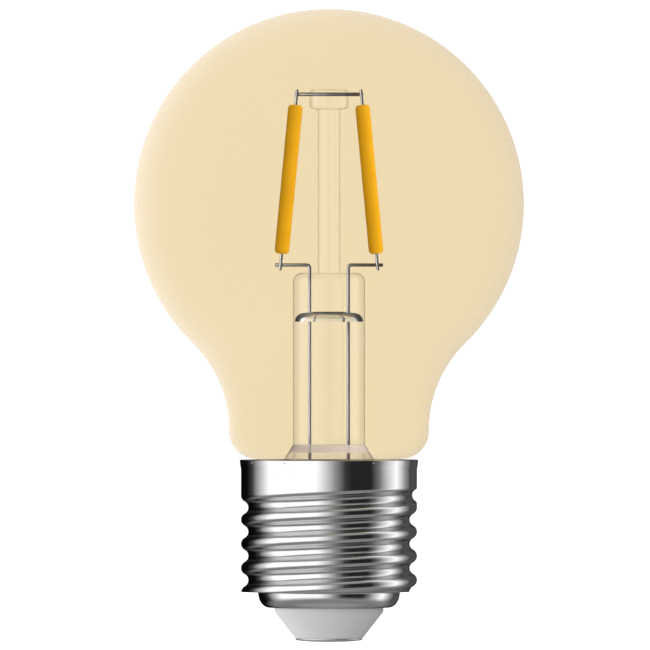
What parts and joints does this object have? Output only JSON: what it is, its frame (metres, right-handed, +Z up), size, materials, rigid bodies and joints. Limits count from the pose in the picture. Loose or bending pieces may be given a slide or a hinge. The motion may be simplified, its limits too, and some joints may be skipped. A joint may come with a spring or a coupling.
{
  "type": "smart light bulb",
  "caption": "Screw-cap LED filament lamp: tinted glass globe on a pressed screw cap, with a glass stem, two straight filaments, and a driver and radio in the cap.",
  "frame": {"origin": "centre of the centre contact's face, the bulb's lowest point, on its axis", "axes": "+Z up along the bulb axis from the contact to the crown of the globe; -Y is the front, from which the two filaments stand side by side"},
  "size_m": [0.0584, 0.0584, 0.0949],
  "materials": {
    "tinted_glass": "clear amber-tinted blown glass",
    "clear_glass": "clear drawn glass",
    "wire": "drawn nickel-plated wire",
    "seal_wire": "copper-clad seal wire",
    "phosphor": "yellow phosphor-filled silicone",
    "strip": "white chip carrier",
    "led_chip": "small light chips",
    "shell_metal": "bright nickel-plated pressed sheet",
    "insulator": "light grey moulded plastic",
    "contact_metal": "plated contact",
    "cement": "set basing cement",
    "liner": "white moulded liner",
    "board": "green solder mask on glass-fibre board",
    "chip": "black moulding",
    "shield": "tinned sheet",
    "capacitor": "dark sleeve",
    "ferrite": "ferrite",
    "copper": "enamelled copper",
    "resistor": "lacquered body",
    "ceramic_part": "ceramic body",
    "pins": "gold-plated pins",
    "solder": "bright solder"
  },
  "bodies": {
    "root": {"base_insulator": "insulator", "basing_cement": "cement", "board_link_pins": "pins", "bridge_rectifier": "chip", "bulk_capacitor": "capacitor", "centre_contact": "contact_metal", "centre_rod": "clear_glass", "driver_board": "board", "driver_sleeve": "liner", "exhaust_tube": "clear_glass", "filament_left_bottom_pin": "wire", "filament_left_chips": "led_chip", "filament_left_coating": "phosphor", "filament_left_strip": "strip", "filament_left_top_pin": "wire", "filament_right_bottom_pin": "wire", "filament_right_chips": "led_chip", "filament_right_coating": "phosphor", "filament_right_strip": "strip", "filament_right_top_pin": "wire", "fusible_resistor": "resistor", "glass_envelope": "tinted_glass", "inductor_core": "ferrite", "inductor_winding": "copper", "lead_wire_left": "wire", "lead_wire_right": "wire", "led_driver_chip": "chip", "live_lead": "copper", "neutral_lead": "copper", "radio_antenna": "copper", "radio_board": "board", "radio_chip": "chip", "radio_crystal": "shield", "radio_shield_can": "shield", "screw_shell": "shell_metal", "seal_wire_left": "seal_wire", "seal_wire_right": "seal_wire", "smd_capacitors": "ceramic_part", "smd_resistors": "chip", "solder_joints": "solder", "stem_flare_tube": "clear_glass", "tail_wire_left": "wire", "tail_wire_right": "wire", "top_support_wire": "wire"}
  },
  "joints": []
}
